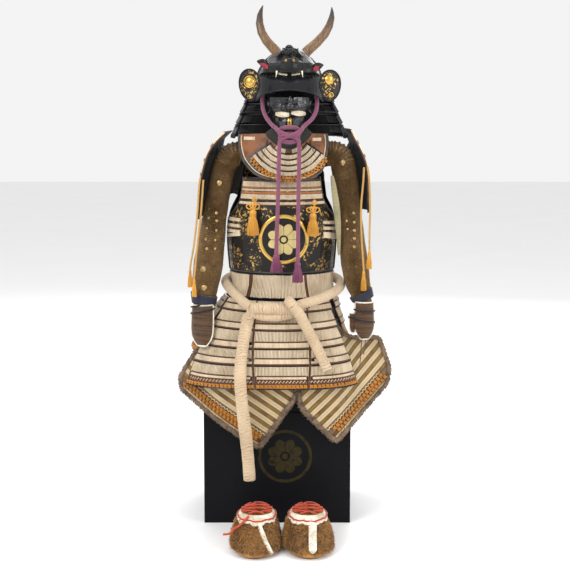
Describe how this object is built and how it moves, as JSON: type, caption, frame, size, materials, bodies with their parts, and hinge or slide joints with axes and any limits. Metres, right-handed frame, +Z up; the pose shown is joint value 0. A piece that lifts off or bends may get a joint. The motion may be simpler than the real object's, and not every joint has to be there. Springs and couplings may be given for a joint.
{
  "type": "samurai armour on its stand and storage box",
  "caption": "Japanese samurai armour with horned helmet, half mask, laced skirt and thigh guards, mail sleeves and rolled belt, standing on its stand and black storage box, with fur shoes",
  "frame": {"origin": "centre of the storage box's underside, on the surface it stands on", "axes": "+Z up, the armour faces -Y, +X to the viewer's right"},
  "size_m": [0.6422, 0.7559, 1.5714],
  "materials": {
    "box_lacquer": "black lacquer on wood, softly glossy, with rubbed edges",
    "black_lacquer": "black lacquer over iron and hide, glossy, with gilt leather on the cuirass",
    "helmet_iron": "black lacquered iron with worn edges",
    "stand_wood": "dark stained wood, smooth",
    "horn": "brown horn colour over wood, dark towards the tips",
    "gilt_leather": "gilt and black stencilled leather",
    "brown_leather": "reddish brown leather with bound edges",
    "cream_lacing": "cream flat silk braid laced in close rows, with brown cords between",
    "mail_cloth": "dark blued mail and small plates sewn on brown brocade cloth",
    "lining_cloth": "faded olive lining cloth",
    "chin_silk": "rose violet braided silk cord",
    "gold_silk": "orange yellow silk cord and tassels",
    "belt_cotton": "cream cotton rolled and wound into a thick belt",
    "fur": "tan bear fur with white hide edge"
  },
  "bodies": {
    "root": {"cuirass_front": "black_lacquer", "cuirass_back": "black_lacquer", "shoulder_strap_left": "brown_leather", "shoulder_strap_right": "brown_leather", "waist_lacing": "cream_lacing", "skirt_panel_1": "cream_lacing", "skirt_panel_2": "cream_lacing", "skirt_panel_3": "cream_lacing", "skirt_panel_4": "cream_lacing", "skirt_panel_5": "cream_lacing", "skirt_panel_6": "cream_lacing", "skirt_panel_7": "cream_lacing", "throat_guard_plate": "brown_leather", "throat_guard_lames": "cream_lacing", "thigh_guard_left": "cream_lacing", "thigh_guard_right": "cream_lacing", "thigh_guard_apron": "brown_leather", "sleeve_left": "mail_cloth", "sleeve_right": "mail_cloth", "sleeve_lining_right": "lining_cloth", "hand_guard_left": "mail_cloth", "hand_guard_right": "mail_cloth", "shoulder_guard_left": "black_lacquer", "shoulder_guard_right": "black_lacquer", "shoulder_cord_left_1": "gold_silk", "shoulder_cord_left_2": "gold_silk", "shoulder_cord_right_1": "gold_silk", "shoulder_cord_right_2": "gold_silk", "shoulder_tassel_left_1": "gold_silk", "shoulder_tassel_left_2": "gold_silk", "shoulder_tassel_right_1": "gold_silk", "shoulder_tassel_right_2": "gold_silk", "chest_tassel_left": "gold_silk", "chest_tassel_right": "gold_silk", "belt_knot": "belt_cotton", "belt_wrap": "belt_cotton", "belt_end_left": "belt_cotton", "belt_end_right": "belt_cotton", "helmet_bowl": "helmet_iron", "helmet_visor": "helmet_iron", "helmet_neck_guard": "black_lacquer", "helmet_turnback_left": "gilt_leather", "helmet_turnback_right": "gilt_leather", "beast_head": "black_lacquer", "horn_left": "horn", "horn_right": "horn", "face_mask": "black_lacquer", "chin_cord_left": "chin_silk", "chin_cord_right": "chin_silk", "chin_end_left": "chin_silk", "chin_end_right": "chin_silk", "chin_knot": "chin_silk", "chin_tassel_left": "chin_silk", "chin_tassel_right": "chin_silk", "storage_box_body": "box_lacquer", "storage_box_lid": "box_lacquer", "stand": "stand_wood", "shoe_left": "fur", "shoe_right": "fur"}
  },
  "joints": []
}
